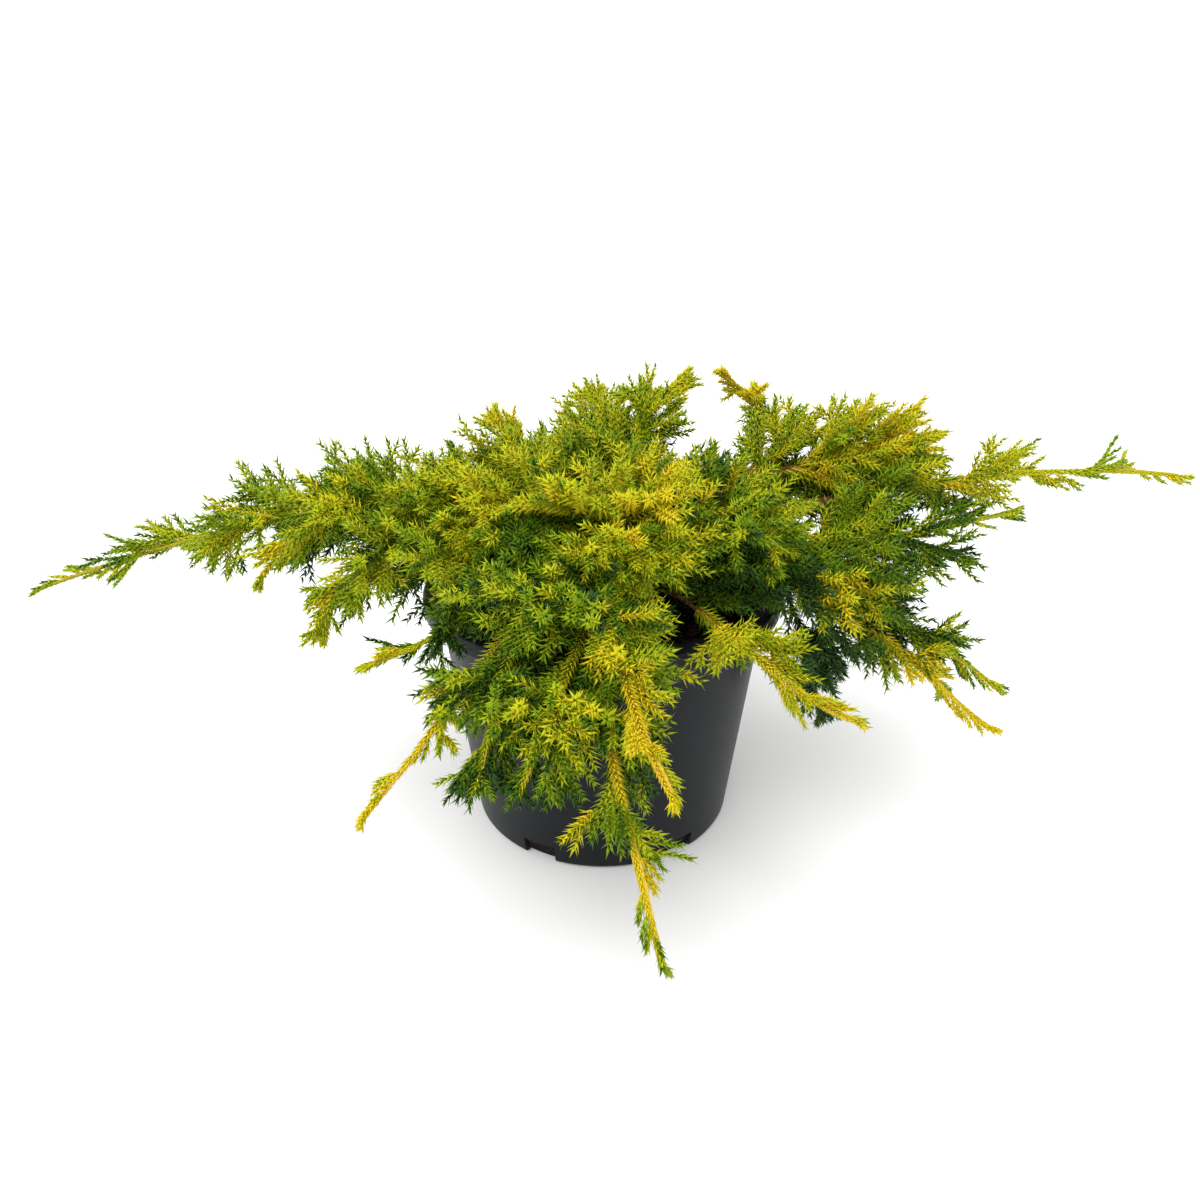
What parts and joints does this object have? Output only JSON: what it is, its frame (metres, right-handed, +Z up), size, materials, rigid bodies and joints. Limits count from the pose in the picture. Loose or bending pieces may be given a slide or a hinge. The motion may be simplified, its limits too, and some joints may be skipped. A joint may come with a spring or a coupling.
{
  "type": "potted daubs frosted juniper",
  "caption": "Low, spreading juniper with golden frosted foliage, its arching boughs reaching far past the rim of a squat black nursery pot.",
  "frame": {"origin": "middle of the pot's flat underside", "axes": "+Z up, -Y towards the front of the picture, +X to its right"},
  "size_m": [0.6212, 0.4128, 0.2477],
  "materials": {
    "pot": "smooth black nursery pot plastic, slightly satin",
    "soil": "dark, crumbly bark-based potting mix",
    "bark": "thin orange-brown bark that flakes in strips",
    "golden_foliage": "golden yellow needles on this year's shoots",
    "green_foliage": "green to blue-green needles with a pale frosted band"
  },
  "bodies": {
    "root": {"pot": "pot", "soil": "soil", "stem": "bark", "left_leader": "bark", "left_leader_foliage": "golden_foliage", "left_second": "bark", "left_second_foliage": "green_foliage", "left_droop": "bark", "left_droop_foliage": "green_foliage", "upper_left": "bark", "upper_left_foliage": "green_foliage", "left_plume": "bark", "left_plume_foliage": "green_foliage", "small_plume": "bark", "small_plume_foliage": "green_foliage", "centre_plume": "bark", "centre_plume_foliage": "green_foliage", "right_plume": "bark", "right_plume_foliage": "green_foliage", "right_crest": "bark", "right_crest_foliage": "green_foliage", "right_leader": "bark", "right_leader_foliage": "golden_foliage", "right_second": "bark", "right_second_foliage": "golden_foliage", "right_low": "bark", "right_low_foliage": "golden_foliage", "right_low_back": "bark", "right_low_back_foliage": "golden_foliage", "right_fill": "bark", "right_fill_foliage": "green_foliage", "front_right": "bark", "front_right_foliage": "golden_foliage", "front_bright": "bark", "front_bright_foliage": "golden_foliage", "front_leader": "bark", "front_leader_foliage": "golden_foliage", "front_middle": "bark", "front_middle_foliage": "green_foliage", "front_low_left": "bark", "front_low_left_foliage": "green_foliage", "front_left": "bark", "front_left_foliage": "golden_foliage", "left_small": "bark", "left_small_foliage": "golden_foliage", "crown_front": "bark", "crown_front_foliage": "green_foliage", "crown_left": "bark", "crown_left_foliage": "green_foliage", "crown_right": "bark", "crown_right_foliage": "green_foliage", "crown_back": "bark", "crown_back_foliage": "green_foliage", "back_left": "bark", "back_left_foliage": "green_foliage", "back_middle": "bark", "back_middle_foliage": "green_foliage", "back_right": "bark", "back_right_foliage": "green_foliage"}
  },
  "joints": []
}
